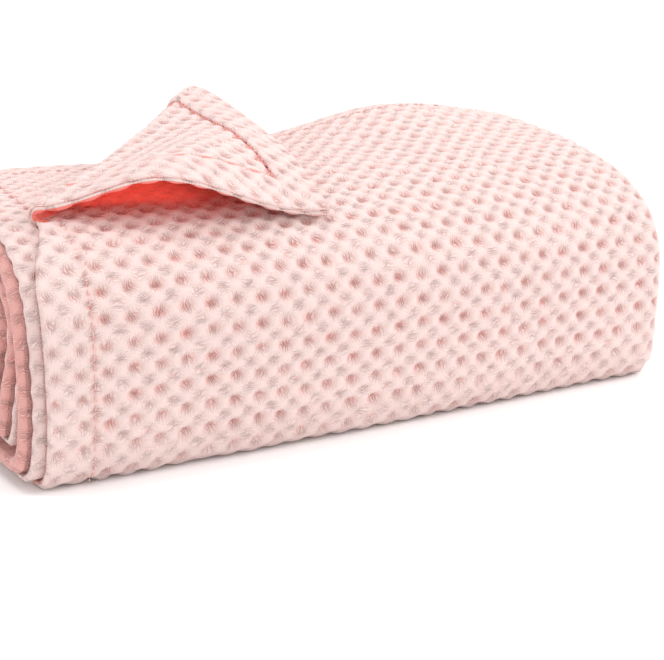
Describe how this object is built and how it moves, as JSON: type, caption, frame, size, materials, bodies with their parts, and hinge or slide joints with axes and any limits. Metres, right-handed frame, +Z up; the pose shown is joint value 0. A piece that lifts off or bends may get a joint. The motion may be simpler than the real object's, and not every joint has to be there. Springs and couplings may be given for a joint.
{
  "type": "folded throw blanket",
  "caption": "Cotton waffle-weave throw, folded lengthwise and rolled into a flat roll, with one corner turned back.",
  "frame": {"origin": "centre of the footprint, on the surface that the roll rests on", "axes": "+X along the roll towards the closed, bent-over end, +Y from the turned-back corner's tip to the back, +Z up"},
  "size_m": [0.3256, 0.202, 0.1334],
  "materials": {
    "waffle_cloth": "matte cotton waffle weave",
    "hem_cloth": "matte cotton, turned twice and stitched",
    "hem_thread": "matte cotton sewing thread"
  },
  "bodies": {
    "roll": {"outer_quarter": "waffle_cloth", "outer_quarter_outer_end_hem": "hem_cloth", "outer_quarter_outer_end_stitching": "hem_thread", "outer_quarter_inner_end_hem": "hem_cloth", "outer_quarter_inner_end_stitching": "hem_thread", "second_quarter": "waffle_cloth", "second_quarter_outer_end_hem": "hem_cloth", "second_quarter_outer_end_stitching": "hem_thread", "second_quarter_inner_end_hem": "hem_cloth", "second_quarter_inner_end_stitching": "hem_thread", "third_quarter": "waffle_cloth", "third_quarter_outer_end_hem": "hem_cloth", "third_quarter_outer_end_stitching": "hem_thread", "third_quarter_inner_end_hem": "hem_cloth", "third_quarter_inner_end_stitching": "hem_thread", "innermost_quarter": "waffle_cloth", "innermost_quarter_outer_end_hem": "hem_cloth", "innermost_quarter_outer_end_stitching": "hem_thread", "innermost_quarter_inner_end_hem": "hem_cloth", "innermost_quarter_inner_end_stitching": "hem_thread", "outer_side_hem": "hem_cloth", "outer_side_stitching": "hem_thread", "second_side_hem": "hem_cloth", "second_side_stitching": "hem_thread", "left_bend": "waffle_cloth", "right_outer_bend": "waffle_cloth", "right_inner_bend": "waffle_cloth", "corner_soft_fold": "waffle_cloth"},
    "turned_corner": {"corner_cloth": "waffle_cloth", "corner_side_hem": "hem_cloth", "corner_end_hem": "hem_cloth", "corner_side_stitching": "hem_thread", "corner_end_stitching": "hem_thread"}
  },
  "joints": [
    {"name": "corner_turn", "type": "hinge", "parent": "roll", "child": "turned_corner", "pos_m": [-0.14678, -0.07636, 0.10102], "axis": [-0.6926, -0.7153, -0.0933], "range_deg": [0, 150]}
  ]
}
